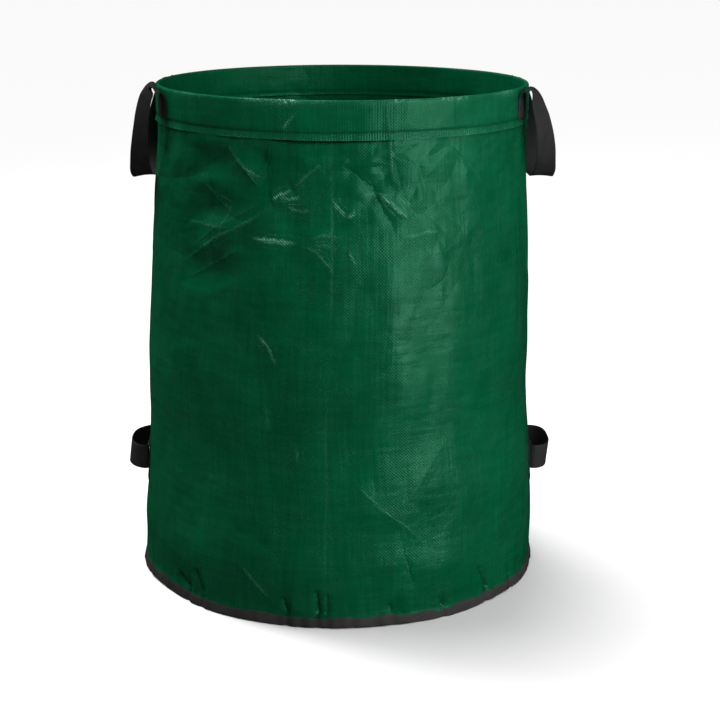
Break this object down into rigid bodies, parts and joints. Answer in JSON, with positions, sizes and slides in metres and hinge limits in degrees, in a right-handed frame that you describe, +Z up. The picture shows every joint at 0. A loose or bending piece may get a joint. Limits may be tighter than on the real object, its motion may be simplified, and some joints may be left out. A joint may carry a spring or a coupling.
{
  "type": "garden waste bag",
  "caption": "Tall round open-topped garden waste bag of coated woven fabric with a hooped hem, webbing carry loops on the rim and tipping loops low on the sides.",
  "frame": {"origin": "on the floor under the middle of the bag", "axes": "+Z up out of the mouth; the carry loops and tipping loops lie on -X (left) and +X (right); the front panel faces -Y"},
  "size_m": [0.7016, 0.6532, 0.8137],
  "materials": {
    "green_fabric": "coated weave, soft gloss",
    "black_webbing": "matte ribbed webbing",
    "black_tape": "matte tape",
    "hoop_plastic": "natural polypropylene",
    "rivet_metal": "satin"
  },
  "bodies": {
    "bag": {"wall_front": "green_fabric", "wall_back": "green_fabric", "hem_sleeve": "green_fabric", "base_panel": "green_fabric", "base_binding": "black_tape", "rim_hoop": "hoop_plastic", "hoop_rivet_left": "rivet_metal", "hoop_rivet_right": "rivet_metal", "carry_tab_left_front": "black_webbing", "carry_tab_left_back": "black_webbing", "carry_tab_right_front": "black_webbing", "carry_tab_right_back": "black_webbing", "tipping_patch_left": "black_tape", "tipping_patch_right": "black_tape", "tipping_tab_left_front": "black_webbing", "tipping_tab_left_back": "black_webbing", "tipping_tab_right_front": "black_webbing", "tipping_tab_right_back": "black_webbing"},
    "left_carry_handle": {"carry_loop_left": "black_webbing"},
    "right_carry_handle": {"carry_loop_right": "black_webbing"},
    "left_tipping_handle": {"tipping_loop_left": "black_webbing"},
    "right_tipping_handle": {"tipping_loop_right": "black_webbing"}
  },
  "joints": [
    {"name": "left_carry_turn", "type": "hinge", "parent": "bag", "child": "left_carry_handle", "pos_m": [-0.2872, 0, 0.808], "axis": [0, 1, 0], "range_deg": [0, 180]},
    {"name": "right_carry_turn", "type": "hinge", "parent": "bag", "child": "right_carry_handle", "pos_m": [0.2872, 0, 0.808], "axis": [0, -1, 0], "range_deg": [0, 180]},
    {"name": "left_tipping_flex", "type": "hinge", "parent": "bag", "child": "left_tipping_handle", "pos_m": [-0.31659, 0, 0.1845], "axis": [0, 1, 0], "range_deg": [-25, 25], "stiffness_Nm_per_rad": 0.08},
    {"name": "right_tipping_flex", "type": "hinge", "parent": "bag", "child": "right_tipping_handle", "pos_m": [0.31659, 0, 0.1845], "axis": [0, -1, 0], "range_deg": [-25, 25], "stiffness_Nm_per_rad": 0.08}
  ]
}
